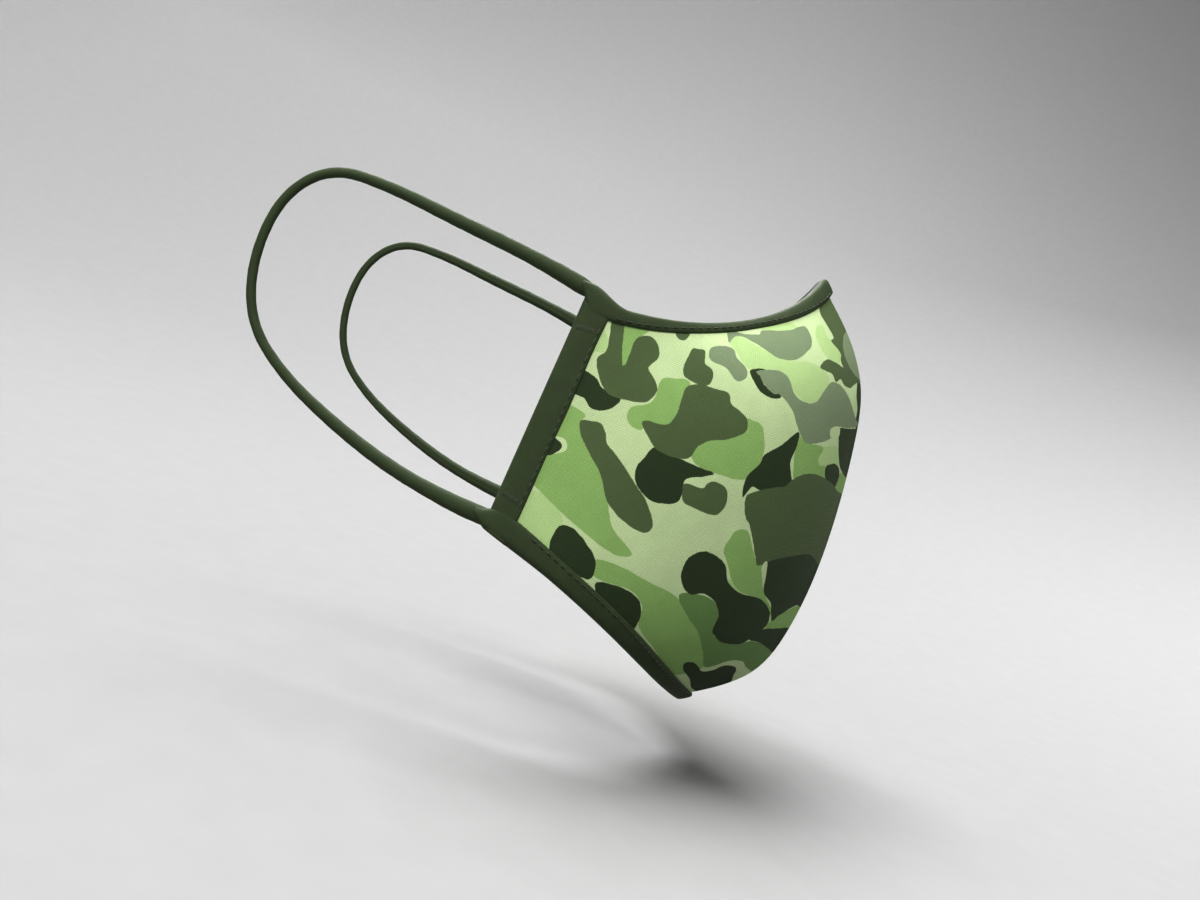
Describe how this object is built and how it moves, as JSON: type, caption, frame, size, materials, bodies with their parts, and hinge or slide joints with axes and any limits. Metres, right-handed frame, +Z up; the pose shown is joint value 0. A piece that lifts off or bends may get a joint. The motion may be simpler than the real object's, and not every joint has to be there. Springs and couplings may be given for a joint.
{
  "type": "cloth face mask",
  "caption": "Fitted two-panel cloth face mask in a green camouflage print, bound in dark olive tape, with two sewn elastic ear loops that swing and a shell that folds flat.",
  "frame": {"origin": "middle of the face opening, half-way between the two side edges and between their ends", "axes": "+Z up along the line from chin point to nose point, -Y forward, +X towards the wearer's left"},
  "size_m": [0.123, 0.2118, 0.1618],
  "materials": {
    "camo_fabric": "printed polyester knit, smooth, slight sheen",
    "filter_fabric": "non-woven felt",
    "lining_fabric": "black cotton jersey",
    "binding_tape": "dark olive folded knit tape",
    "thread": "dark olive polyester thread",
    "elastic": "covered elastic core"
  },
  "bodies": {
    "shell": {"bottom_binding": "binding_tape", "bottom_binding_stitching": "thread", "centre_seam_stitching": "thread", "centre_seam_tape": "lining_fabric", "filter_layer_left": "filter_fabric", "filter_layer_right": "filter_fabric", "lining_panel_left": "lining_fabric", "lining_panel_right": "lining_fabric", "outer_panel_left": "camo_fabric", "outer_panel_right": "camo_fabric", "top_binding": "binding_tape", "top_binding_stitching": "thread"},
    "left_side": {"side_binding_left": "binding_tape", "side_stitching_left": "thread", "upper_bar_tack_left": "thread", "lower_bar_tack_left": "thread"},
    "left_ear_loop": {"ear_loop_cover_left": "binding_tape", "ear_loop_elastic_left": "elastic"},
    "right_side": {"side_binding_right": "binding_tape", "side_stitching_right": "thread", "upper_bar_tack_right": "thread", "lower_bar_tack_right": "thread"},
    "right_ear_loop": {"ear_loop_cover_right": "binding_tape", "ear_loop_elastic_right": "elastic"}
  },
  "joints": [
    {"name": "right_fold", "type": "slide", "parent": "shell", "child": "right_side", "axis": [1, 0, 0], "range_m": [0, 0.051], "stiffness_N_per_m": 4, "deforming": ["bottom_binding", "bottom_binding_stitching", "centre_seam_stitching", "centre_seam_tape", "filter_layer_left", "filter_layer_right", "lining_panel_left", "lining_panel_right", "outer_panel_left", "outer_panel_right", "top_binding", "top_binding_stitching"]},
    {"name": "left_fold", "type": "slide", "parent": "shell", "child": "left_side", "axis": [-1, 0, 0], "range_m": [0, 0.051], "stiffness_N_per_m": 4},
    {"name": "right_loop_hinge", "type": "hinge", "parent": "right_side", "child": "right_ear_loop", "pos_m": [-0.0585, 0.002, 0.0389], "axis": [0, -0.0902, 0.9959], "range_deg": [0, 150], "stiffness_Nm_per_rad": 0.002},
    {"name": "left_loop_hinge", "type": "hinge", "parent": "left_side", "child": "left_ear_loop", "pos_m": [0.0585, 0.002, 0.0389], "axis": [0, 0.0902, -0.9959], "range_deg": [0, 150], "stiffness_Nm_per_rad": 0.002}
  ],
  "couplings": [
    {"joint": "left_fold", "follows": "right_fold", "ratio": 1}
  ]
}
